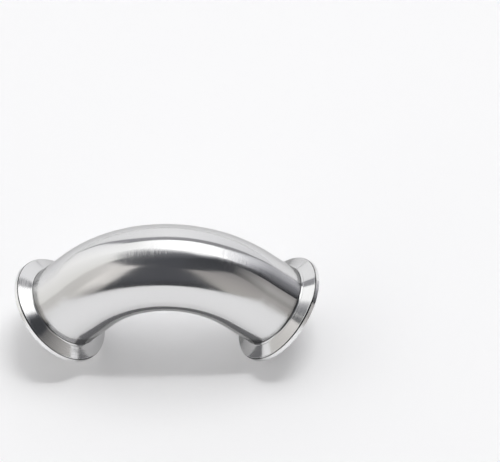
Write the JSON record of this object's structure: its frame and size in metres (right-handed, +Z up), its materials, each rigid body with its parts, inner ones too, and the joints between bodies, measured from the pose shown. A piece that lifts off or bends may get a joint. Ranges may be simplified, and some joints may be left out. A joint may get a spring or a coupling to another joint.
{
  "type": "sanitary elbow",
  "caption": "Right-angle polished stainless tube elbow with a clamp rim, coned back and gasket groove on each port, standing on its rims.",
  "frame": {"origin": "on the floor, midway between the two clamp rims that the elbow stands on", "axes": "+X from the inlet side to the outlet side, +Y across the bend's plane, +Z up towards the crown of the bend"},
  "size_m": [0.1344, 0.0504, 0.0661],
  "materials": {
    "polished_tube": "stainless steel tube, mechanically polished bright, with fine polishing lines round the tube",
    "polished_ferrule": "stainless steel, turned and polished bright"
  },
  "bodies": {
    "root": {"elbow_tube": "polished_tube", "inlet_ferrule": "polished_ferrule", "outlet_ferrule": "polished_ferrule"}
  },
  "joints": []
}
